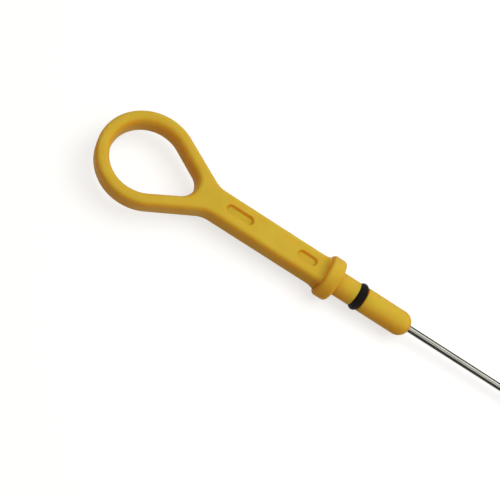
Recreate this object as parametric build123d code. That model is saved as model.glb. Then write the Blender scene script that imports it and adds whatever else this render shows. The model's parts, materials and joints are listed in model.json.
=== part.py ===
"""Engine oil dipstick: a moulded pull handle with a finger loop, its sealing ring and the steel wire it carries.

Sizes are in millimetres. Every piece is drawn with the long axis along X, the wire pointing to +X and the
finger loop flat in XY. The origin is the middle of the collar face that lands on the mouth of the dipstick
tube. At the end the whole dipstick is laid down as it comes to rest, on the collar's rim and the wire's tip.
"""
import os
from math import asin, atan2, cos, degrees, hypot, radians, sin

from build123d import *

# Finger loop: a teardrop ring
HOLE_RADIUS = 13.3
HOLE_HALF_ANGLE = 31.0
HOLE_TIP_RADIUS = 6.5
LOOP_BAND = 5.0
LOOP_HALF_ANGLE = 30.0
LOOP_TO_SEAT = 80.7

# Loop and neck share one flat slab with rounded edges
SLAB_THICKNESS = 8.4
SLAB_EDGE_RADIUS = 1.9
NECK_WIDTH = 11.0
JUNCTION_RADIUS = 9.2

# Shallow pockets in the neck's upper face
POCKET_WIDTH = 3.6
POCKET_DEPTH = 1.1
POCKET_WALL_DRAFT = 25.0
LOOP_POCKET_LENGTH = 11.1
LOOP_POCKET_SETBACK = 5.4
COLLAR_POCKET_LENGTH = 8.2
COLLAR_POCKET_SETBACK = 4.3

# Collar, and the ramp that carries the neck up to it
COLLAR_DIAMETER = 16.4
COLLAR_THICKNESS = 5.7
COLLAR_RIM_DROP = 1.3
COLLAR_RIM_RUN = 1.5
RAMP_RADIUS = 3.2
RAMP_STEP = 0.25

# Spigot, seal groove and nose
SPIGOT_DIAMETER = 9.3
SPIGOT_LENGTH = 8.3
SEAL_SECTION = 3.0
SEAL_SIDE_ROOM = 0.2
SEAL_SEAT_GAP = 0.05
GROOVE_FLOOR_DIAMETER = 4.7
GROOVE_EDGE_CHAMFER = 0.3
NOSE_DIAMETER = 9.5
NOSE_LENGTH = 20.7
NOSE_DOME_RADIUS = 4.5

# Steel wire with a flattened anchor inside the moulding and a flattened measuring end
WIRE_DIAMETER = 2.7
WIRE_LENGTH = 270.0
WIRE_BOND_GAP = 0.05
ANCHOR_DEPTH = 24.0
ANCHOR_LENGTH = 7.0
ANCHOR_WIDTH = 4.2
ANCHOR_THICKNESS = 1.2
BLADE_LENGTH = 52.0
BLADE_TAPER = 7.0
BLADE_WIDTH = 4.0
BLADE_THICKNESS = 1.2
BLADE_EDGE_RADIUS = 0.4
BLADE_CORNER_RADIUS = 1.0
LOW_MARK = 12.0
FULL_MARK = 32.0
MARK_NOTCH_RADIUS = 0.6

half_slab = SLAB_THICKNESS / 2
loop_radius = HOLE_RADIUS + LOOP_BAND
collar_radius = COLLAR_DIAMETER / 2
spigot_radius = SPIGOT_DIAMETER / 2
nose_radius = NOSE_DIAMETER / 2
groove_radius = GROOVE_FLOOR_DIAMETER / 2
groove_width = SEAL_SECTION + 2 * SEAL_SIDE_ROOM
seal_x = SPIGOT_LENGTH + groove_width / 2
nose_start = SPIGOT_LENGTH + groove_width
nose_end = nose_start + NOSE_LENGTH
collar_back = -COLLAR_THICKNESS
neck_end = collar_back / 2
ramp_foot = collar_back - RAMP_RADIUS
neck_corner_x = -LOOP_TO_SEAT + (loop_radius - NECK_WIDTH / 2 * cos(radians(LOOP_HALF_ANGLE))) / sin(
    radians(LOOP_HALF_ANGLE)
)


def teardrop(centre_x, radius, half_angle, tip_radius):
    """A round end whose two tangents close on a smaller rounded tip toward +X."""
    lean = radians(half_angle)
    tip_x = centre_x + (radius - tip_radius) / sin(lean)
    leave = (centre_x + radius * sin(lean), radius * cos(lean))
    arrive = (tip_x + tip_radius * sin(lean), tip_radius * cos(lean))
    outline = Curve() + [
        ThreePointArc(leave, (centre_x - radius, 0), (leave[0], -leave[1])),
        Line((leave[0], -leave[1]), (arrive[0], -arrive[1])),
        ThreePointArc((arrive[0], -arrive[1]), (tip_x + tip_radius, 0), arrive),
        Line(arrive, leave),
    ]
    return make_face(outline.edges()), tip_x


def corners_at(sketch, *spots):
    """The sketch's vertices at the given places."""
    return [v for v in sketch.vertices() if any(hypot(v.X - x, v.Y - y) < 1e-4 for x, y in spots)]


def slab():
    """Plan of finger loop and neck, pulled up to the slab's thickness."""
    outside, tip_x = teardrop(-LOOP_TO_SEAT, loop_radius, LOOP_HALF_ANGLE, NECK_WIDTH / 2)
    neck = Pos((tip_x + neck_end) / 2, 0) * Rectangle(neck_end - tip_x, NECK_WIDTH)
    plan = outside + neck
    junction = corners_at(plan, (neck_corner_x, NECK_WIDTH / 2), (neck_corner_x, -NECK_WIDTH / 2))
    plan = fillet(junction, JUNCTION_RADIUS)
    hole, _ = teardrop(-LOOP_TO_SEAT, HOLE_RADIUS, HOLE_HALF_ANGLE, HOLE_TIP_RADIUS)
    return extrude(plan - hole, half_slab, both=True)


def ramps():
    """Hollow ramps that lift the neck's upper and lower face toward the collar, as wide as the neck."""
    top = half_slab + RAMP_RADIUS
    profile = make_face(
        [
            Line((ramp_foot, half_slab), (ramp_foot, 0)),
            Line((ramp_foot, 0), (neck_end, 0)),
            Line((neck_end, 0), (neck_end, top)),
            Line((neck_end, top), (collar_back, top)),
            RadiusArc((collar_back, top), (ramp_foot, half_slab), RAMP_RADIUS),
        ]
    )
    upper = extrude(Plane.XZ * profile, NECK_WIDTH / 2, both=True)
    return upper + mirror(upper, about=Plane.XY)


def moulded_grip():
    """Loop, neck and ramps with one soft edge all round; the ramps end just inside the collar's back face."""
    body = slab() + ramps()
    edges = body.edges()
    rims = [e for e in edges - edges.filter_by(Axis.Y) - edges.filter_by(Axis.Z) if e.center().X < collar_back]
    body = fillet(rims, min(SLAB_EDGE_RADIUS, 0.45 * LOOP_BAND, 0.45 * SLAB_THICKNESS))
    ramp_limit = collar_radius - COLLAR_RIM_DROP - RAMP_STEP
    ramp_run = neck_end - ramp_foot
    beyond = Cylinder(2 * collar_radius, ramp_run) - Cylinder(ramp_limit, ramp_run)
    return body - Pos(ramp_foot + ramp_run / 2, 0, 0) * Rot(0, 90, 0) * beyond


def rounded_rim(corner_x, corner_radius, toward):
    """The collar's rounded rim at one face: a quarter ellipse from the face to the cylinder."""
    centre = (corner_x + toward * COLLAR_RIM_RUN, corner_radius - COLLAR_RIM_DROP)
    first = 90 if toward > 0 else 0
    return EllipticalCenterArc(centre, COLLAR_RIM_RUN, COLLAR_RIM_DROP, start_angle=first, arc_size=90)


def turned_end():
    """Collar, spigot, seal groove and domed nose, turned about the long axis."""
    back_rim = rounded_rim(collar_back, collar_radius, 1)
    front_rim = rounded_rim(0, collar_radius, -1)
    outline = Polyline(
        front_rim @ 0,
        (0, spigot_radius),
        (SPIGOT_LENGTH, spigot_radius),
        (SPIGOT_LENGTH, groove_radius),
        (nose_start, groove_radius),
        (nose_start, nose_radius),
        (nose_end, nose_radius),
        (nose_end, 0),
        (collar_back, 0),
        back_rim @ 1,
    )
    profile = make_face([*outline.edges(), back_rim.edge(), Line(back_rim @ 0, front_rim @ 1), front_rim.edge()])
    profile = chamfer(
        corners_at(profile, (SPIGOT_LENGTH, spigot_radius), (nose_start, nose_radius)), GROOVE_EDGE_CHAMFER
    )
    profile = fillet(corners_at(profile, (nose_end, nose_radius)), NOSE_DOME_RADIUS)
    return revolve(profile, Axis.X)


def pocket(length, centre_x):
    """A shallow pocket with round ends and sloping walls, as a tool whose mouth lies in the neck's face."""
    mouth = Pos(centre_x, 0, half_slab) * SlotOverall(length, POCKET_WIDTH)
    return extrude(mouth, -POCKET_DEPTH, taper=POCKET_WALL_DRAFT)


def wire_core(grow):
    """The wire up to its measuring end with the flattened anchor, or the cavity around it when grown."""
    start = -ANCHOR_DEPTH + ANCHOR_LENGTH
    end = WIRE_LENGTH - BLADE_LENGTH - BLADE_TAPER
    bar = Pos((start - grow + end) / 2, 0, 0) * Rot(0, 90, 0) * Cylinder(WIRE_DIAMETER / 2 + grow, end - start + grow)
    anchor_end = start + WIRE_DIAMETER / 2
    anchor = Pos((anchor_end - ANCHOR_DEPTH) / 2, 0, 0) * Box(
        anchor_end + ANCHOR_DEPTH + 2 * grow, ANCHOR_WIDTH + 2 * grow, ANCHOR_THICKNESS + 2 * grow
    )
    anchor = fillet(anchor.edges().filter_by(Axis.Z), ANCHOR_WIDTH / 4)
    return bar + anchor


def measuring_end():
    """The wire pressed flat: a taper from the round wire, a blade with a blunt tip, and the two level marks."""
    root = WIRE_LENGTH - BLADE_LENGTH
    section = RectangleRounded(BLADE_WIDTH, BLADE_THICKNESS, BLADE_EDGE_RADIUS)
    taper = loft(
        [Plane.YZ.offset(root - BLADE_TAPER) * Circle(WIRE_DIAMETER / 2), Plane.YZ.offset(root) * section]
    )
    blade = extrude(Plane.YZ.offset(root) * section, BLADE_LENGTH)
    plan = Pos(WIRE_LENGTH - BLADE_LENGTH, 0) * RectangleRounded(2 * BLADE_LENGTH, BLADE_WIDTH, BLADE_CORNER_RADIUS)
    blade = blade & extrude(plan, BLADE_THICKNESS, both=True)
    for mark in (LOW_MARK, FULL_MARK):
        for side in (-1, 1):
            blade -= Pos(WIRE_LENGTH - mark, side * BLADE_WIDTH / 2, 0) * Cylinder(
                MARK_NOTCH_RADIUS, 2 * BLADE_THICKNESS
            )
    return taper + blade


loop_pocket_x = neck_corner_x + LOOP_POCKET_SETBACK + LOOP_POCKET_LENGTH / 2
collar_pocket_x = collar_back - COLLAR_POCKET_SETBACK - COLLAR_POCKET_LENGTH / 2
handle = moulded_grip()
handle -= pocket(LOOP_POCKET_LENGTH, loop_pocket_x)
handle -= pocket(COLLAR_POCKET_LENGTH, collar_pocket_x)
handle = handle + turned_end() - wire_core(WIRE_BOND_GAP)

seal_section = Pos(seal_x, groove_radius + SEAL_SEAT_GAP + SEAL_SECTION / 2) * Circle(SEAL_SECTION / 2)
o_ring = revolve(seal_section, Axis.X)

rod = wire_core(0) + measuring_end()

# Lying down: the ground line touches the collar's rounded front rim and passes under the blade's tip
drop = collar_radius - COLLAR_RIM_DROP - BLADE_THICKNESS / 2
run = WIRE_LENGTH + COLLAR_RIM_RUN
lay_angle = degrees(atan2(drop, run) + asin(COLLAR_RIM_DROP / hypot(drop, run)))

os.makedirs("parts", exist_ok=True)
for name, piece in (("handle", handle), ("o_ring", o_ring), ("rod", rod)):
    laid = Rot(0, lay_angle, 0) * piece
    laid.label = name
    export_step(laid, f"parts/{name}.step")
    box = laid.bounding_box()
    print(name, "volume", round(laid.volume, 1), "solids", len(laid.solids()), "valid", laid.is_valid, box.min, box.max)
print("lay angle", round(lay_angle, 3))
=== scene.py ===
# %% [markdown]
# # Dressing an engine oil dipstick
#
# The CAD model gives three solids: a yellow moulded handle, a black sealing ring and a steel wire.
# In this lesson each of them is modelled again with softer edges and finer forms, gets a finish
# made of shader nodes, and is photographed on a white sweep.
# The CAD model is loaded first, because every piece has to lie where its solid lies.

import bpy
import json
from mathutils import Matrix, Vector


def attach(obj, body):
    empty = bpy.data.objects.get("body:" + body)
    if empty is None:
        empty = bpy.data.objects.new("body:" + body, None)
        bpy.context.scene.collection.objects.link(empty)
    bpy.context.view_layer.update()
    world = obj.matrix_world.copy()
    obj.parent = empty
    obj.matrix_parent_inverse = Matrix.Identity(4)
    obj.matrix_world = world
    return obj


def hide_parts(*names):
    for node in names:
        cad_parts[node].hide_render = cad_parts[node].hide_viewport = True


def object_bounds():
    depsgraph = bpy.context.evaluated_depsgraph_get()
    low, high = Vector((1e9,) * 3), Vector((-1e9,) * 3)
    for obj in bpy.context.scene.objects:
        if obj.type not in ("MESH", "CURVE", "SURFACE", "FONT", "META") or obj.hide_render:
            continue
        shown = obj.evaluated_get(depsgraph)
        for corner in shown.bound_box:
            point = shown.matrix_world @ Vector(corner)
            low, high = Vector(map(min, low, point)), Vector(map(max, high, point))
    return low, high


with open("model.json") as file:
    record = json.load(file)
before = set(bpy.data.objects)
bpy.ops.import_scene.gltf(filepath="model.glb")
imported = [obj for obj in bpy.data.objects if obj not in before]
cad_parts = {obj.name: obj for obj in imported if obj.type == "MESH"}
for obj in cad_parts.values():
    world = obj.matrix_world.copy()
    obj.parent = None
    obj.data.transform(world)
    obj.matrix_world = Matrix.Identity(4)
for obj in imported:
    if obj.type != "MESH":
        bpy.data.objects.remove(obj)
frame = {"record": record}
cad_low, cad_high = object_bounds()
print("CAD box from", [round(v, 4) for v in cad_low], "to", [round(v, 4) for v in cad_high])

# %% [markdown]
# ## The dipstick's own frame
#
# The dipstick lies on its collar and on the far tip of its wire, so its long axis dips a little.
# Drawing a tilted part is awkward. It is easier to draw it straight, in millimetres, with the collar's
# seat at the origin and the wire along X, and to lay the finished mesh down with one matrix.
# The tilt is read from the direction of the nose in the CAD record.

# %% The matrix that lays the dipstick down
import math
import bpy
import bmesh
from mathutils import Matrix, Vector

MILLIMETRE = 0.001

mounts = {mount["name"]: mount for mount in frame["record"]["mounts"]}
nose_axis = Vector(mounts["dipstick_nose"]["axis"])
dip = math.atan2(-nose_axis.z, nose_axis.x)
TURN = Matrix.Rotation(dip, 4, "Y")
LAY_DOWN = TURN @ Matrix.Scale(MILLIMETRE, 4)
print("the long axis dips by", round(math.degrees(dip), 3), "degrees")

# %% [markdown]
# ## The camera
#
# The photograph was taken from above and a little behind the finger loop, so that the wire runs out of
# the picture at the right. The place, the direction and the focal length were found by matching the
# outlines of the loop, neck, collar and nose in the photograph. They are given in the dipstick's own
# frame. Blender's camera looks along its own -Z with Y up, so its axes are built from "right" and "down".

# %% Camera at the photograph's viewpoint
EYE = Vector((-65.302, -136.855, 265.230))
PICTURE_RIGHT = Vector((0.83831, 0.44298, 0.31781))
PICTURE_DOWN = Vector((0.53423, -0.78378, -0.31670))
FOCAL_PIXELS = 836.05
PICTURE_PIXELS = 500
SENSOR_WIDTH = 36.0
NEAREST_SEEN = 0.01

right = (TURN.to_3x3() @ PICTURE_RIGHT).normalized()
up = -(TURN.to_3x3() @ PICTURE_DOWN)
up = (up - up.dot(right) * right).normalized()
back = right.cross(up)
aim = Matrix((right, up, back)).transposed().to_4x4()
lens = bpy.data.cameras.new("photo_camera")
lens.sensor_width = SENSOR_WIDTH
lens.lens = FOCAL_PIXELS / PICTURE_PIXELS * SENSOR_WIDTH
lens.clip_start = NEAREST_SEEN
camera = bpy.data.objects.new("photo_camera", lens)
camera.matrix_world = Matrix.Translation(LAY_DOWN @ EYE) @ aim
bpy.context.collection.objects.link(camera)
bpy.context.scene.camera = camera
print("camera", [round(v, 3) for v in camera.location], "lens", round(lens.lens, 2), "mm")

# %% [markdown]
# ## Small helpers for node materials
#
# Every finish below starts from an empty node tree. Short helpers keep the cells readable: they add a
# node and fill its sockets, join two sockets, bring a value into another range, and send a shader to the
# output. The last one tells what is looked at from what is lit: it is 1 for rays from the camera, from a
# reflection or through glass, and 0 for rays that only carry light.

# %% Helpers for node trees
def empty_finish(name):
    finish = bpy.data.materials.new(name)
    finish.use_nodes = True
    finish.node_tree.nodes.clear()
    return finish, finish.node_tree


def add(tree, kind, sockets=None, **settings):
    """A node of that kind with its settings, and its unlinked sockets filled in."""
    node = tree.nodes.new(kind)
    for name, value in settings.items():
        setattr(node, name, value)
    for name, value in (sockets or {}).items():
        node.inputs[name].default_value = value
    return node


def join(tree, start, end):
    tree.links.new(start, end)


def in_range(tree, value, old_range, new_range):
    """A socket with the value brought from one range into another, and held within it."""
    node = add(tree, "ShaderNodeMapRange", {"From Min": old_range[0], "From Max": old_range[1]})
    node.inputs["To Min"].default_value, node.inputs["To Max"].default_value = new_range
    join(tree, value, node.inputs["Value"])
    return node.outputs[0]


def show(tree, shader, output_kind="ShaderNodeOutputMaterial"):
    """Sends a shader to the output of its tree."""
    output = add(tree, output_kind)
    join(tree, shader.outputs[0], output.inputs["Surface"])


def looked_at(tree):
    """A socket that is 1 for rays that look at the surface and 0 for rays that only carry its light."""
    rays = add(tree, "ShaderNodeLightPath")
    seen = rays.outputs["Is Camera Ray"]
    for kind in ("Is Glossy Ray", "Is Transmission Ray"):
        either = add(tree, "ShaderNodeMath", operation="MAXIMUM")
        join(tree, seen, either.inputs[0])
        join(tree, rays.outputs[kind], either.inputs[1])
        seen = either.outputs[0]
    return seen


print("helpers ready for Blender", bpy.app.version_string)

# %% [markdown]
# ## The white sweep
#
# The photograph shows the dipstick on pure white. Turning up the lamp until the floor burns out would
# also bleach the plastic. So the floor is a plain grey-white paper, and it glows only for rays that look
# at it, just enough to reach white where nothing shades it. The lamp's light falls off with distance, so
# the glow grows a little away from the middle. It lights nothing else, and the dipstick's shadow stays.

# %% Floor
WHITE = (1.0, 1.0, 1.0, 1.0)
FLOOR_SIZE = 6.0
FLOOR_TONE = 0.42
FALL_OFF_DISTANCES = (0.2, 0.9)
GLOW_LEVELS = (0.7, 0.88)

bpy.ops.mesh.primitive_plane_add(size=FLOOR_SIZE, location=(0.0, 0.0, cad_low.z))
floor = bpy.context.object
floor.name = "white_sweep"

sweep, tree = empty_finish("white_sweep_paper")
paper = add(tree, "ShaderNodeBsdfDiffuse", {"Color": (FLOOR_TONE, FLOOR_TONE, FLOOR_TONE, 1.0)})
place = add(tree, "ShaderNodeTexCoord")
distance = add(tree, "ShaderNodeVectorMath", operation="LENGTH")
level = add(tree, "ShaderNodeMath", operation="MULTIPLY")
glow = add(tree, "ShaderNodeEmission", {"Color": WHITE})
both = add(tree, "ShaderNodeAddShader")
join(tree, place.outputs["Object"], distance.inputs[0])
join(tree, looked_at(tree), level.inputs[0])
make_up = in_range(tree, distance.outputs["Value"], FALL_OFF_DISTANCES, GLOW_LEVELS)
join(tree, make_up, level.inputs[1])
join(tree, level.outputs[0], glow.inputs["Strength"])
join(tree, paper.outputs[0], both.inputs[0])
join(tree, glow.outputs[0], both.inputs[1])
show(tree, both)
floor.data.materials.append(sweep)
print("floor at", round(cad_low.z / MILLIMETRE, 2), "mm")

# %% [markdown]
# ## Light
#
# In the photograph the upper faces are evenly bright, and the walls that look toward the lower left fall
# into a deep orange. That is one large soft lamp overhead, a little behind the dipstick and toward its
# measuring end, and a weak light from all round. The world gives the weak light. It is warm, because in
# the studio it comes back from the yellow plastic itself, and the lamp is a touch cool in return.
# To whatever looks at the world it is plain white, like the floor.

# %% World
WORLD_LEVEL = 0.30
WARM_FILL = (1.0, 0.82, 0.66, 1.0)

scene = bpy.context.scene
scene.view_settings.view_transform = "Standard"
world = bpy.data.worlds.new("soft_room")
world.use_nodes = True
tree = world.node_tree
tree.nodes.clear()
fill = add(tree, "ShaderNodeBackground", {"Color": WARM_FILL, "Strength": WORLD_LEVEL})
backdrop = add(tree, "ShaderNodeBackground", {"Color": WHITE, "Strength": 1.0})
sky = add(tree, "ShaderNodeMixShader")
join(tree, looked_at(tree), sky.inputs["Fac"])
join(tree, fill.outputs[0], sky.inputs[1])
join(tree, backdrop.outputs[0], sky.inputs[2])
show(tree, sky, "ShaderNodeOutputWorld")
scene.world = world
print("world level", WORLD_LEVEL)

# %% Lamp
LAMP_POWER = 2.36
LAMP_SIZE = 0.5
LAMP_COLOUR = (0.95, 1.0, 1.0)
LAMP_PLACE = Vector((0.13, 0.11, 0.50))

lamp_data = bpy.data.lights.new("soft_lamp", "AREA")
lamp_data.energy = LAMP_POWER
lamp_data.size = LAMP_SIZE
lamp_data.color = LAMP_COLOUR
lamp = bpy.data.objects.new("soft_lamp", lamp_data)
lamp.location = LAMP_PLACE
lamp.rotation_mode = "QUATERNION"
lamp.rotation_quaternion = (-LAMP_PLACE).to_track_quat("-Z", "Y")
lamp.visible_glossy = False
bpy.context.collection.objects.link(lamp)
print("lamp of", LAMP_POWER, "W")

# %% [markdown]
# ## Cards for the wire to reflect
#
# Bright round steel shows nothing but its surroundings, and all white would leave it without a shape. A
# product photographer puts dark cards round such a wire, and they draw the dark stripes along it.
# Here a high card leans on the camera's side and a low one on the far side, and a narrow strip hangs
# over the wire and draws the fine line in the middle of its bright band. Only reflections see them, so
# they cast no shadow and take no light from the plastic. Each card is given by its two long edges, as Y
# and height over the floor, and by its tone.

# %% Cards round the wire
CARD_ENDS = (0.030, 0.30)
CARDS = {
    "near_card": ((-0.006, 0.0003), (-0.20, 0.26), 0.06),
    "far_card": ((0.006, 0.0003), (0.22, 0.15), 0.0),
    "strip_card": ((-0.080, 0.27), (-0.005, 0.27), 0.0),
}


def hold_card(name, first_edge, second_edge, tone):
    """A card along the wire between two edges, which only reflections see."""
    corners = []
    for (y, height), ends in ((first_edge, CARD_ENDS), (second_edge, CARD_ENDS[::-1])):
        corners += [(x, y, cad_low.z + height) for x in ends]
    mesh = bpy.data.meshes.new(name)
    mesh.from_pydata(corners, [], [(0, 1, 2, 3)])
    card = bpy.data.objects.new(name, mesh)
    card.visible_camera = False
    card.visible_diffuse = False
    card.visible_shadow = False
    card.visible_transmission = False
    bpy.context.collection.objects.link(card)
    felt, tree = empty_finish(name + "_felt")
    show(tree, add(tree, "ShaderNodeEmission", {"Color": (tone, tone, tone, 1.0)}))
    mesh.materials.append(felt)


for name, (first_edge, second_edge, tone) in CARDS.items():
    hold_card(name, first_edge, second_edge, tone)
print("cards:", ", ".join(CARDS))

# %% [markdown]
# ## Uneven surfaces
#
# No real surface has the same colour and gloss all over. In each of the three finishes below a noise
# moves the colour between two tones, and a noise makes the skin duller here and glossier there and
# raises a fine relief on it. A painted picture could do the same, but a noise has no seams and needs no
# unwrapping. Three helpers do that, so that a finish only says how coarse, how dull and how rough it is.

# %% Helpers for uneven colour and skin
NOISE_SPAN = (0.3, 0.7)


def noise(tree, place, sockets):
    """A socket with a noise over that place."""
    node = add(tree, "ShaderNodeTexNoise", sockets)
    join(tree, place, node.inputs["Vector"])
    return node.outputs["Fac"]


def tones(tree, value, stops):
    """A socket with a colour that follows the value, by stops of a position and a colour."""
    node = add(tree, "ShaderNodeValToRGB")
    # a new ramp has two stops already
    for _ in stops[2:]:
        node.color_ramp.elements.new(0.5)
    for element, (position, colour) in zip(node.color_ramp.elements, stops):
        element.position = position
        element.color = colour
    join(tree, value, node.inputs["Fac"])
    return node.outputs["Color"]


def uneven_skin(tree, shader, value, roughness, relief):
    """Lets a noise vary the shader's roughness between two values and raise a relief on its surface."""
    bump = add(tree, "ShaderNodeBump", relief)
    join(tree, in_range(tree, value, NOISE_SPAN, roughness), shader.inputs["Roughness"])
    join(tree, value, bump.inputs["Height"])
    join(tree, bump.outputs["Normal"], shader.inputs["Normal"])


print("a noise is taken to span", NOISE_SPAN)

# %% [markdown]
# ## The yellow moulded plastic
#
# Dipstick handles are moulded in yellow nylon so that they are easy to find in a dark engine bay. The
# surface is satin, with a fine grain from the eroded mould. Light travels a few millimetres inside the
# plastic and comes out more orange. Scattering alone makes thick parts look green, so it stays moderate,
# and painted shade gives the rest of the orange: by the slope of the surface, walls and rounded edges are
# painted a deeper orange and flat faces a paler yellow, and by how closed in the surface is, creases are
# painted a darker orange. The colour also drifts a little from place to place, and the grain is a fine
# bump. Constants are set straight on the shader, and only what varies is linked.

# %% Colours of the moulding, with painted shade by slope and in creases
YELLOWS = ((0.32, (0.798, 0.470, 0.0405, 1.0)), (0.68, (0.848, 0.515, 0.0515, 1.0)))
# Painted shade by slope: walls and rounded edges get a deeper orange, flat faces a paler yellow
PAINTED_WALL_SHADE = (0.98, 0.90, 0.68, 1.0)
PAINTED_EDGE_SHADE = (0.90, 0.85, 0.60, 1.0)
PAINTED_LIT_FACE_TONE = (0.85, 1.0, 1.0, 1.0)
PAINTED_SHADE_BY_SLOPE = ((0.10, PAINTED_WALL_SHADE), (0.60, PAINTED_EDGE_SHADE), (0.95, PAINTED_LIT_FACE_TONE))
# Painted shade in creases: a darker orange where the surface is closed in
PAINTED_CREASE_SHADE = (0.86, 0.66, 0.32, 1.0)
CREASE_REACH = 0.005
CREASE_OPENNESS = (0.35, 0.95)

moulded_yellow, tree = empty_finish("moulded_yellow_nylon")
place = add(tree, "ShaderNodeTexCoord")
drift = noise(tree, place.outputs["Object"], {"Scale": 90.0, "Detail": 3.0, "Roughness": 0.55})
# the slope of the surface picks the painted shade, which multiplies the drifting yellow
facing = add(tree, "ShaderNodeSeparateXYZ")
slope = add(tree, "ShaderNodeMath", operation="ABSOLUTE")
drift_and_painted_shade = add(tree, "ShaderNodeMix", {"Factor": 1.0}, data_type="RGBA", blend_type="MULTIPLY")
join(tree, place.outputs["Normal"], facing.inputs[0])
join(tree, facing.outputs["Z"], slope.inputs[0])
join(tree, tones(tree, drift, YELLOWS), drift_and_painted_shade.inputs["A"])
join(tree, tones(tree, slope.outputs[0], PAINTED_SHADE_BY_SLOPE), drift_and_painted_shade.inputs["B"])

# ambient occlusion masks the painted crease shade, darkest in pockets, the groove and along the collar
crease = add(tree, "ShaderNodeAmbientOcclusion", {"Distance": CREASE_REACH}, samples=8, only_local=True)
deep = add(tree, "ShaderNodeMix", {"A": PAINTED_CREASE_SHADE, "B": WHITE}, data_type="RGBA")
finished = add(tree, "ShaderNodeMix", {"Factor": 1.0}, data_type="RGBA", blend_type="MULTIPLY")
open_to_light = in_range(tree, crease.outputs["AO"], CREASE_OPENNESS, (0.0, 1.0))
join(tree, open_to_light, deep.inputs["Factor"])
join(tree, drift_and_painted_shade.outputs["Result"], finished.inputs["A"])
join(tree, deep.outputs["Result"], finished.inputs["B"])
print("colours of", moulded_yellow.name, "take", len(tree.nodes), "nodes")

# %% Shader of the moulding
plastic = add(
    tree,
    "ShaderNodeBsdfPrincipled",
    {
        "IOR": 1.5,
        "Specular IOR Level": 0.2,
        "Subsurface Weight": 0.8,
        "Subsurface Radius": (1.0, 0.25, 0.08),
        "Subsurface Scale": 0.005,
    },
)
grain = noise(tree, place.outputs["Object"], {"Scale": 2600.0, "Detail": 2.0, "Roughness": 0.6})
uneven_skin(tree, plastic, grain, (0.48, 0.60), {"Strength": 0.12, "Distance": 0.0001})
join(tree, finished.outputs["Result"], plastic.inputs["Base Color"])
show(tree, plastic)
print("finish", moulded_yellow.name, "with", len(tree.nodes), "nodes")

# %% [markdown]
# ## The outlines of loop and neck
#
# Seen from above, the handle is drawn with arcs and straight runs only: a round end, two tangents that
# close toward the neck, and a small round where they meet. The hole and the outside each have such an
# outline. Each run below knows its length, and gives for any share of it a point and the direction in
# which the wall faces. With that direction, a copy of the outline further in or out is easy to make.

# %% Runs of an outline
from collections import namedtuple

Run = namedtuple("Run", "length at")


def arc(centre, radius, start, end):
    """A round run whose wall turns from one facing angle to another. Hollow ones have a radius below 0."""

    def at(share):
        facing = start + (end - start) * share
        out = Vector((math.cos(facing), math.sin(facing)))
        return Vector(centre) + radius * out, out

    return Run(abs(radius * (end - start)), at)


def straight(start, end, facing):
    out = Vector((math.cos(facing), math.sin(facing)))

    def at(share):
        return start.lerp(end, share), out

    return Run((end - start).length, at)


def along(runs, distance):
    """The point and facing direction that far along a chain of runs."""
    for run in runs[:-1]:
        if distance <= run.length:
            return run.at(distance / run.length)
        distance -= run.length
    return runs[-1].at(distance / runs[-1].length)


quarter = arc((0.0, 0.0), 1.0, 0.0, math.pi / 2)
print("a quarter of a circle of radius 1 is", round(quarter.length, 3), "long")

# %% Outline of the finger hole, upper half
LOOP_X = -80.7
HOLE_RADIUS = 13.3
HOLE_LEAN = math.radians(31.0)
HOLE_TIP_RADIUS = 6.5

hole_facing = math.pi / 2 - HOLE_LEAN
hole_tip_x = LOOP_X + (HOLE_RADIUS - HOLE_TIP_RADIUS) / math.sin(HOLE_LEAN)
hole_round = arc((LOOP_X, 0.0), HOLE_RADIUS, math.pi, hole_facing)
hole_tip = arc((hole_tip_x, 0.0), HOLE_TIP_RADIUS, hole_facing, 0.0)
hole_arm = straight(hole_round.at(1.0)[0], hole_tip.at(0.0)[0], hole_facing)
hole = [hole_round, hole_arm, hole_tip]
print("half the hole's rim is", round(sum(run.length for run in hole), 2), "mm long")

# %% Outline of the outside, upper half
LOOP_RADIUS = 18.3
LOOP_LEAN = math.radians(30.0)
NECK_HALF_WIDTH = 5.5
JUNCTION_RADIUS = 9.2
COLLAR_BACK = -5.7
NECK_END = COLLAR_BACK / 2

loop_facing = math.pi / 2 - LOOP_LEAN
loop_round = arc((LOOP_X, 0.0), LOOP_RADIUS, math.pi, loop_facing)
corner_x = LOOP_X + (LOOP_RADIUS - NECK_HALF_WIDTH * math.cos(LOOP_LEAN)) / math.sin(LOOP_LEAN)
junction_x = corner_x + JUNCTION_RADIUS * math.tan(LOOP_LEAN / 2)
junction_centre = (junction_x, NECK_HALF_WIDTH + JUNCTION_RADIUS)
junction = arc(junction_centre, -JUNCTION_RADIUS, loop_facing, math.pi / 2)
loop_arm = straight(loop_round.at(1.0)[0], junction.at(0.0)[0], loop_facing)
neck_side = straight(junction.at(1.0)[0], Vector((NECK_END, NECK_HALF_WIDTH)), math.pi / 2)
outside = [loop_round, loop_arm, junction, neck_side]
print("neck starts at", round(junction_x, 2), "mm and is", round(neck_side.length, 2), "mm long")

# %% [markdown]
# ## Columns across the moulding
#
# The moulding could be cut with booleans and bevelled, but bevels fail easily where an arc runs into a
# straight. Instead a grid of quads is laid over it, which keeps the shading clean. Each column of the
# grid crosses the band from the hole to the outside. Past the tip of the hole the columns start on the
# centre line, so loop and neck are one grid. They fan out from the tip until they stand square to the
# neck. Only the half with positive Y is built and then mirrored.

# %% Columns round the loop
RING_COLUMNS = (56, 26, 18)

hole_marks = [0.0]
for run in hole:
    hole_marks.append(hole_marks[-1] + run.length)
arm_start = loop_round.length
tip_touch = hole_tip.at(0.0)[0] - loop_arm.at(0.0)[0]
arm_direction = Vector((math.cos(LOOP_LEAN), -math.sin(LOOP_LEAN)))
outside_marks = [
    0.0,
    arm_start,
    arm_start + tip_touch.dot(arm_direction),
    arm_start + loop_arm.length + junction.length / 2,
]


def between(marks, part, share):
    return marks[part] + share * (marks[part + 1] - marks[part])


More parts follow.
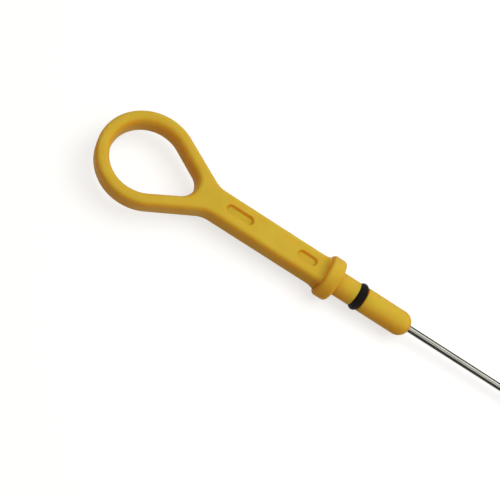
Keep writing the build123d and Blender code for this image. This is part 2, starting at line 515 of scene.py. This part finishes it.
columns = []
for part, count in enumerate(RING_COLUMNS):
    for step in range(count):
        inner = along(hole, between(hole_marks, part, step / count))
        outer = along(outside, between(outside_marks, part, step / count))
        columns.append((inner, outer))
columns.append((along(hole, hole_marks[-1]), along(outside, outside_marks[-1])))
ring_count = len(columns)
print(ring_count, "columns round the loop")

# %% Columns along the neck
HOLE_EDGE_REACH, HOLE_EDGE_DROP = 2.3, 3.0
SQUARE_X = -50.0
FAN_COLUMNS = 18
NECK_STEP, RAMP_STEP = 0.15, 0.1
RAMP_STEP_REACH = 3.6
LEAST_STEP = 1e-6

first_x = hole_tip_x + HOLE_TIP_RADIUS + HOLE_EDGE_REACH
square_mark = arm_start + loop_arm.length + junction.length + SQUARE_X - junction_x
for step in range(1, FAN_COLUMNS + 1):
    share = step / FAN_COLUMNS
    x = first_x + share * (SQUARE_X - first_x)
    reach = outside_marks[-1] + share * (square_mark - outside_marks[-1])
    columns.append(((Vector((x, 0.0)), None), along(outside, reach)))
x = SQUARE_X
while x < NECK_END - LEAST_STEP:
    x += NECK_STEP if x < COLLAR_BACK - RAMP_STEP_REACH else RAMP_STEP
    columns.append(((Vector((x, 0.0)), None), (Vector((x, NECK_HALF_WIDTH)), Vector((0.0, 1.0)))))
print(len(columns) - ring_count, "columns along the neck")

# %% [markdown]
# ## The form of the upper face
#
# Two pockets are sunk into the neck's face, and a hollow ramp carries the face up to the collar. Both
# are easy to write as heights over the plan: a pocket is as deep as the distance from its softly rounded
# rim says, and the ramp is a quarter circle that a slightly smaller round than the collar cuts off. A
# soft minimum rounds the edge between the two, as the mould maker's cutter does.

# %% Heights of the face
HALF_SLAB = 4.2
RAMP_RADIUS = 3.2
RAMP_LIMIT = 6.65
RAMP_SOFTNESS = 0.5
POCKET_HALF_WIDTH = 1.8
POCKET_DEPTH = 1.1
POCKET_WALL = 0.85
POCKET_RIM_ROUND = 0.2
POCKETS = ((-42.68, 11.1), (-14.1, 8.2))


def soft_minimum(a, b, softness):
    mix = max(softness - abs(a - b), 0.0) / softness
    return min(a, b) - mix * mix * softness / 4


def ease(share):
    share = min(max(share, 0.0), 1.0)
    return share * share * (3 - 2 * share)


def ramp_lift(x):
    run = min(max(x - (COLLAR_BACK - RAMP_RADIUS), 0.0), RAMP_RADIUS)
    return RAMP_RADIUS - math.sqrt(RAMP_RADIUS**2 - run**2)


def with_ramp(x, y, height):
    """The height of the neck's face or edge, lifted along the ramp and held under the collar's round."""
    if x < SQUARE_X:
        return height
    limit = math.sqrt(max(RAMP_LIMIT**2 - y * y, 0.0))
    return soft_minimum(height + ramp_lift(x), limit, RAMP_SOFTNESS)


def pocket_depth(x, y):
    """How far the face is sunk there, by pockets given as their middle and length."""
    depth = 0.0
    for middle, length in POCKETS:
        beyond = max(abs(x - middle) - (length / 2 - POCKET_HALF_WIDTH), 0.0)
        inside = POCKET_HALF_WIDTH - math.hypot(beyond, y)
        depth = max(depth, POCKET_DEPTH * ease((inside + POCKET_RIM_ROUND) / POCKET_WALL))
    return depth


print("ramp is", round(with_ramp(COLLAR_BACK, 0.0, HALF_SLAB), 2), "mm high at the collar")

# %% [markdown]
# ## The section of one column
#
# Along each column the surface runs from the middle of the hole's wall up over a rounded edge, across
# the face, over the outer edge and down to the middle of the outer wall. The walls lean by one degree,
# as a moulding must to leave its mould, so a fine parting line runs round the middle. Where the finger
# pulls, the hole's upper edge rolls over further than the others, as the photograph shows by its long
# soft shade. The lower half has plain edges and no pockets, on a coarser grid, because a flat face needs
# few points.

# %% Points of one column
WALL_LEAN = math.tan(math.radians(1.0))
EDGE_RADIUS = 1.9
EDGE_STEPS = 8
FACE_ROWS = 30
UNDERSIDE_ROWS = 8
WALL_SHARES = (0.0, 0.1, 0.4, 0.7)
RAMP_STARTS_ABOVE = 2.0


def edge_path(reach, drop):
    """Inset and height of the wall and of the rounded edge above it, from the middle upward."""
    wall_top = HALF_SLAB - drop
    path = [(share * wall_top * WALL_LEAN, share * wall_top) for share in WALL_SHARES]
    lean = wall_top * WALL_LEAN
    for step in range(EDGE_STEPS + 1):
        turn = math.pi / 2 * step / EDGE_STEPS
        inset = lean + (reach - lean) * (1 - math.cos(turn))
        path.append((inset, wall_top + drop * math.sin(turn)))
    return path


def half_section(column, side, rows):
    """Points of a column's upper (side 1) or lower (side -1) half: hole edge, face and outer edge."""
    (inner, inner_out), (outer, outer_out) = column
    hole_edge = []
    face_start = inner
    if inner_out is not None:
        reach, drop = (HOLE_EDGE_REACH, HOLE_EDGE_DROP) if side > 0 else (EDGE_RADIUS, EDGE_RADIUS)
        path = edge_path(reach, drop)[:-1]
        hole_edge = [(inner + inner_out * inset, height) for inset, height in path]
        face_start = inner + inner_out * reach
    face_end = outer - outer_out * EDGE_RADIUS
    face = []
    for row in range(rows):
        spot = face_start.lerp(face_end, row / rows)
        sunk = pocket_depth(spot.x, spot.y) if side > 0 else 0.0
        face.append((spot, HALF_SLAB - sunk))
    path = reversed(edge_path(EDGE_RADIUS, EDGE_RADIUS))
    outer_edge = [(outer - outer_out * inset, height) for inset, height in path]

    def placed(spot, height):
        if height > RAMP_STARTS_ABOVE:
            height = with_ramp(spot.x, spot.y, height)
        return Vector((spot.x, spot.y, side * height))

    return [[placed(spot, height) for spot, height in part] for part in (hole_edge, face, outer_edge)]


sample = half_section(columns[0], 1, FACE_ROWS)
print("a loop column has", [len(part) for part in sample], "points in its upper half")

# %% [markdown]
# ## Skinning the grid
#
# Neighbouring columns are joined with quads. Points that two parts share, such as the middle of a wall,
# are made twice and merged afterwards by distance, which is simpler than keeping track of them. Then the
# half is mirrored, and the open end inside the collar is closed.

# %% Loop and neck as one mesh
MERGE_DISTANCE = 0.004


def skin(mesh, strips):
    """Quads between neighbouring rows of points; a row may be shorter where its part ends."""
    made = [[mesh.verts.new(point) for point in strip] for strip in strips]
    for one, two in zip(made, made[1:]):
        for k in range(min(len(one), len(two)) - 1):
            mesh.faces.new((one[k], one[k + 1], two[k + 1], two[k]))


handle_mesh = bmesh.new()
for side, rows in ((1, FACE_ROWS), (-1, UNDERSIDE_ROWS)):
    sections = [half_section(column, side, rows) for column in columns]
    hole_strips = [hole_edge + face[:1] for hole_edge, face, outer_edge in sections[:ring_count]]
    face_strips = [face + outer_edge for hole_edge, face, outer_edge in sections]
    skin(handle_mesh, hole_strips)
    skin(handle_mesh, face_strips)
bmesh.ops.remove_doubles(handle_mesh, verts=handle_mesh.verts, dist=MERGE_DISTANCE)
bmesh.ops.mirror(
    handle_mesh,
    geom=handle_mesh.verts[:] + handle_mesh.edges[:] + handle_mesh.faces[:],
    matrix=Matrix.Identity(4),
    merge_dist=MERGE_DISTANCE,
    axis="Y",
)
open_edges = [edge for edge in handle_mesh.edges if edge.is_boundary]
bmesh.ops.holes_fill(handle_mesh, edges=open_edges)
bmesh.ops.recalc_face_normals(handle_mesh, faces=handle_mesh.faces)
print("loop and neck:", len(handle_mesh.faces), "faces, open edges closed:", len(open_edges))

# %% [markdown]
# ## The turned end: collar, spigot, groove and nose
#
# Everything from the collar on is round, so it is spun from one profile, as on a lathe. Blender's Screw
# modifier could spin it, but a few short helpers do it as well, and the sealing ring and the wire use
# them again. A sharp corner never catches light, and no moulding has one. So each corner of the profile
# is given with its own small radius, and a helper puts an arc of points there before it is spun.

# %% A profile with rounded corners, spun about the long axis
TURN_STEPS = 144
CORNER_STEPS = 10


def rounded(corners):
    """Points of a profile whose corners (x, radius from the axis, corner radius) are rounded."""
    points = []
    for k, (x, r, radius) in enumerate(corners):
        spot = Vector((x, r))
        if radius == 0.0:
            points.append(spot)
            continue
        to_last = (Vector(corners[k - 1][:2]) - spot).normalized()
        to_next = (Vector(corners[k + 1][:2]) - spot).normalized()
        half = to_last.angle(to_next) / 2
        reach = radius / math.tan(half)
        centre = spot + (to_last + to_next).normalized() * radius / math.sin(half)
        start = spot + to_last * reach - centre
        end = spot + to_next * reach - centre
        for step in range(CORNER_STEPS + 1):
            points.append(centre + radius * start.slerp(end, step / CORNER_STEPS))
    return points


def bridge(mesh, rings):
    """Quads between neighbouring rings of points."""
    for one, two in zip(rings, rings[1:]):
        for k in range(len(one)):
            after = (k + 1) % len(one)
            mesh.faces.new((one[k], one[after], two[after], two[k]))


def cap(mesh, rings):
    for ring in (rings[0], rings[-1]):
        mesh.faces.new(ring)


def spin(mesh, profile):
    """Rings of points, one for each (x, radius) point of a profile turned about the X axis."""
    turns = [2 * math.pi * k / TURN_STEPS for k in range(TURN_STEPS)]
    rings = []
    for x, r in profile:
        rings.append([mesh.verts.new((x, r * math.cos(t), r * math.sin(t))) for t in turns])
    return rings


print("a ring has", TURN_STEPS, "points and a rounded corner", CORNER_STEPS + 1)

# %% Collar, spigot and nose
COLLAR_RADIUS, COLLAR_EDGE = 8.2, 1.4
SPIGOT_RADIUS, SEAT_CORNER, SPIGOT_EDGE = 4.65, 0.35, 0.3
GROOVE_START, GROOVE_END, GROOVE_RADIUS, GROOVE_CORNER = 8.3, 11.7, 2.35, 0.2
NOSE_RADIUS, NOSE_EDGE = 4.75, 0.35
NOSE_END, NOSE_DOME = 32.4, 4.5
WIRE_RADIUS, WIRE_CLEARANCE = 1.35, 0.02
WIRE_HOLE_RADIUS = WIRE_RADIUS + WIRE_CLEARANCE
WIRE_HOLE_DEPTH = 1.5
INSIDE_NECK = 2.0

turned_profile = rounded(
    [
        (COLLAR_BACK, INSIDE_NECK, 0.0),
        (COLLAR_BACK, COLLAR_RADIUS, COLLAR_EDGE),
        (0.0, COLLAR_RADIUS, COLLAR_EDGE),
        (0.0, SPIGOT_RADIUS, SEAT_CORNER),
        (GROOVE_START, SPIGOT_RADIUS, SPIGOT_EDGE),
        (GROOVE_START, GROOVE_RADIUS, GROOVE_CORNER),
        (GROOVE_END, GROOVE_RADIUS, GROOVE_CORNER),
        (GROOVE_END, NOSE_RADIUS, NOSE_EDGE),
        (NOSE_END, NOSE_RADIUS, NOSE_DOME),
        (NOSE_END, 0.0, 0.0),
    ]
)
turned_profile = [point for point in turned_profile if point.y > WIRE_HOLE_RADIUS]
turned_profile.append(Vector((turned_profile[-1].x, WIRE_HOLE_RADIUS)))
turned_profile.append(Vector((NOSE_END - WIRE_HOLE_DEPTH, WIRE_HOLE_RADIUS)))
turned_mesh = bmesh.new()
turned_rings = spin(turned_mesh, turned_profile)
bridge(turned_mesh, turned_rings)
cap(turned_mesh, turned_rings)
bmesh.ops.recalc_face_normals(turned_mesh, faces=turned_mesh.faces)
print("turned profile of", len(turned_profile), "points")

# %% [markdown]
# ## One skin for the whole moulding
#
# The neck's mesh ends inside the collar, so the two closed meshes overlap. Left like that, the light
# that scatters in the plastic would stop at the walls inside it, and a dark green line would show along
# the collar. A boolean union takes the inner walls away. It works on two helper objects that are deleted
# again.

# %% Union of neck and turned end
def joined(first, second):
    """The union of two closed meshes, so that no wall is left inside the plastic."""
    pieces = []
    for mesh in (first, second):
        data = bpy.data.meshes.new("half")
        mesh.to_mesh(data)
        mesh.free()
        pieces.append(bpy.data.objects.new("half", data))
        bpy.context.collection.objects.link(pieces[-1])
    union = pieces[0].modifiers.new("union", "BOOLEAN")
    union.operation = "UNION"
    union.solver = "EXACT"
    union.object = pieces[1]
    whole = bmesh.new()
    whole.from_object(pieces[0], bpy.context.evaluated_depsgraph_get())
    for piece in pieces:
        data = piece.data
        bpy.data.objects.remove(piece)
        bpy.data.meshes.remove(data)
    return whole


handle_mesh = joined(handle_mesh, turned_mesh)
open_edges = [edge for edge in handle_mesh.edges if edge.is_boundary]
print("the moulding has", len(handle_mesh.faces), "faces, open edges:", len(open_edges))

# %% [markdown]
# ## Putting the handle in its place
#
# The mesh is laid down with the matrix from the start, shaded smooth, and tied to the CAD body, so that
# it stands for the CAD handle. Smooth shading keeps real creases sharp by an angle limit.

# %% Handle object
CREASE_ANGLE = math.radians(38.0)


def finished_piece(name, mesh, finish, node):
    """Turns a bmesh drawn in the dipstick's own frame into a piece that stands for one CAD node."""
    data = bpy.data.meshes.new(name)
    bmesh.ops.transform(mesh, matrix=LAY_DOWN, verts=mesh.verts)
    mesh.to_mesh(data)
    mesh.free()
    data.shade_smooth()
    data.set_sharp_from_angle(angle=CREASE_ANGLE)
    data.materials.append(finish)
    piece = bpy.data.objects.new(name, data)
    bpy.context.collection.objects.link(piece)
    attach(piece, "root")
    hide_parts(node)
    return piece


handle = finished_piece("moulded_handle", handle_mesh, moulded_yellow, "handle")
print(handle.name, "has", len(handle.data.polygons), "faces")

# %% [markdown]
# ## The rubber sealing ring
#
# The ring sits in the groove and closes the dipstick tube against oil mist. It is a plain ring of
# nitrile rubber: nearly black, dull, with a dry bloom on its skin. Stretched over the floor of the
# groove, its round section spreads a little toward the groove's walls. Blender's torus is always round
# in section, so the ring is spun like the profile above. The finish is a dark base whose roughness
# wanders, with a faint speckle.

# %% Finish for rubber
BLACKS = ((0.35, (0.005, 0.004, 0.003, 1.0)), (0.75, (0.012, 0.010, 0.008, 1.0)))

black_rubber, tree = empty_finish("black_nitrile_rubber")
place = add(tree, "ShaderNodeTexCoord")
bloom = noise(tree, place.outputs["Object"], {"Scale": 700.0, "Detail": 4.0, "Roughness": 0.6})
rubber = add(tree, "ShaderNodeBsdfPrincipled", {"Specular IOR Level": 0.1})
join(tree, tones(tree, bloom, BLACKS), rubber.inputs["Base Color"])
uneven_skin(tree, rubber, bloom, (0.5, 0.68), {"Strength": 0.15, "Distance": 0.0001})
show(tree, rubber)
print("finish", black_rubber.name)

# %% Sealing ring
SEAL_X = (GROOVE_START + GROOVE_END) / 2
SEAL_HALF_WIDTH, SEAL_HALF_HEIGHT = 1.65, 1.5
SEAT_GAP = 0.05
SEAL_MIDDLE = GROOVE_RADIUS + SEAT_GAP + SEAL_HALF_HEIGHT
SECTION_STEPS = 40

section = []
for step in range(SECTION_STEPS):
    turn = 2 * math.pi * step / SECTION_STEPS
    from_middle = Vector((SEAL_HALF_WIDTH * math.cos(turn), SEAL_HALF_HEIGHT * math.sin(turn)))
    section.append(Vector((SEAL_X, SEAL_MIDDLE)) + from_middle)
seal_mesh = bmesh.new()
seal_rings = spin(seal_mesh, section)
bridge(seal_mesh, seal_rings + seal_rings[:1])
bmesh.ops.recalc_face_normals(seal_mesh, faces=seal_mesh.faces)
seal = finished_piece("sealing_ring", seal_mesh, black_rubber, "o_ring")
print(seal.name, "outer diameter", 2 * (SEAL_MIDDLE + SEAL_HALF_HEIGHT), "mm")

# %% [markdown]
# ## The steel wire
#
# The wire is drawn through a die, which leaves long fine scratches along it, and its end is pressed flat
# into a blade with two pairs of notches for the low and the full mark. A bevelled curve would make the
# round run but not the blade. One section that changes along the length can do all of it: half the
# width, half the thickness and how square its corners are, at each station. The finish is bare metal
# with its scratches stretched along the wire.

# %% Finish for drawn steel
STEELS = ((0.3, (0.56, 0.54, 0.48, 1.0)), (0.7, (0.70, 0.675, 0.605, 1.0)))
SCRATCH_SCALE = (12.0, 2600.0, 2600.0)

drawn_steel, tree = empty_finish("drawn_steel_wire")
place = add(tree, "ShaderNodeTexCoord")
pull = add(tree, "ShaderNodeMapping", {"Scale": SCRATCH_SCALE})
join(tree, place.outputs["Object"], pull.inputs["Vector"])
scratches = noise(tree, pull.outputs["Vector"], {"Scale": 1.0, "Detail": 4.0, "Roughness": 0.65})
stain = noise(tree, place.outputs["Object"], {"Scale": 120.0, "Detail": 2.0})
steel = add(tree, "ShaderNodeBsdfPrincipled", {"Metallic": 1.0})
join(tree, tones(tree, stain, STEELS), steel.inputs["Base Color"])
uneven_skin(tree, steel, scratches, (0.06, 0.13), {"Strength": 0.12, "Distance": 0.00005})
show(tree, steel)
print("finish", drawn_steel.name)

# %% Section of the wire
ANCHOR_START, ANCHOR_END = -24.0, -17.0
ANCHOR_HALF_WIDTH, ANCHOR_HALF_THICKNESS = 2.1, 0.6
WIRE_TIP = 270.0
TAPER_START, BLADE_START = 211.0, 218.0
BLADE_HALF_WIDTH, BLADE_HALF_THICKNESS = 2.0, 0.6
TIP_ROUND = 1.0
NOTCH_RADIUS = 0.6
FULL_FROM_TIP, LOW_FROM_TIP = 32.0, 12.0
MARKS = (WIRE_TIP - FULL_FROM_TIP, WIRE_TIP - LOW_FROM_TIP)
ROUND_POWER, ANCHOR_POWER, BLADE_POWER = 2.0, 6.0, 8.0


def wire_section(x):
    """Half the width, half the thickness, and the squareness of the section at x."""
    if x < ANCHOR_END:
        return ANCHOR_HALF_WIDTH, ANCHOR_HALF_THICKNESS, ANCHOR_POWER
    if x <= TAPER_START:
        return WIRE_RADIUS, WIRE_RADIUS, ROUND_POWER
    flat = ease((x - TAPER_START) / (BLADE_START - TAPER_START))
    width = WIRE_RADIUS + flat * (BLADE_HALF_WIDTH - WIRE_RADIUS)
    thickness = WIRE_RADIUS + flat * (BLADE_HALF_THICKNESS - WIRE_RADIUS)
    for mark in MARKS:
        if abs(x - mark) < NOTCH_RADIUS:
            width -= math.sqrt(NOTCH_RADIUS**2 - (x - mark) ** 2)
    if x > WIRE_TIP - TIP_ROUND:
        into = x - (WIRE_TIP - TIP_ROUND)
        width -= TIP_ROUND - math.sqrt(max(TIP_ROUND**2 - into**2, 0.0))
    return width, thickness, ROUND_POWER + (BLADE_POWER - ROUND_POWER) * flat


print("half width, half thickness and squareness of the blade:",
      [round(v, 2) for v in wire_section(BLADE_START)])

# %% Stations along the wire
EVEN_START = 20.0
WIRE_STEP, TAPER_STEP, BLADE_STEP = 4.0, 0.5, 2.0
ROUND_STEPS = 8
ANCHOR_SHOULDER = 0.01


def evenly(start, end, step):
    """Stations from the start on, up to the last one before the end."""
    return [start + step * k for k in range(math.ceil((end - start) / step))]


def round_stations(middle, radius, first_step):
    """Stations over a round, closer toward its ends. A quarter round starts at step 0."""
    steps = range(first_step, ROUND_STEPS + 1)
    return [middle + radius * math.sin(math.pi / 2 * k / ROUND_STEPS) for k in steps]


stations = [ANCHOR_START, ANCHOR_END - ANCHOR_SHOULDER, ANCHOR_END, 0.0]
stations += evenly(EVEN_START, TAPER_START, WIRE_STEP)
stations += evenly(TAPER_START, BLADE_START, TAPER_STEP)
stations += evenly(BLADE_START, WIRE_TIP, BLADE_STEP)
for mark in MARKS:
    stations += round_stations(mark, NOTCH_RADIUS, -ROUND_STEPS)
stations += round_stations(WIRE_TIP - TIP_ROUND, TIP_ROUND, 0)
stations = sorted(set(round(x, 4) for x in stations))
print(len(stations), "stations from", stations[0], "to", stations[-1])

# %% Wire and blade
WIRE_SIDES = 40


def squarish(width, thickness, power):
    """A ring of points between an ellipse (power 2) and a rectangle with tight corners (power 8)."""
    ring = []
    for k in range(WIRE_SIDES):
        turn = 2 * math.pi * k / WIRE_SIDES
        c, s = math.cos(turn), math.sin(turn)
        grow = (abs(c) ** power + abs(s) ** power) ** (-1 / power)
        ring.append((width * c * grow, thickness * s * grow))
    return ring


wire_mesh = bmesh.new()
wire_rings = []
for x in stations:
    wire_rings.append([wire_mesh.verts.new((x, y, z)) for y, z in squarish(*wire_section(x))])
bridge(wire_mesh, wire_rings)
cap(wire_mesh, wire_rings)
bmesh.ops.recalc_face_normals(wire_mesh, faces=wire_mesh.faces)
wire = finished_piece("steel_wire", wire_mesh, drawn_steel, "rod")
print(wire.name, "has", len(wire.data.polygons), "faces")

# %% [markdown]
# ## The size and finishing
#
# The dressed dipstick must be as large as the CAD model, no larger.

# %% Sizes and finish
import json
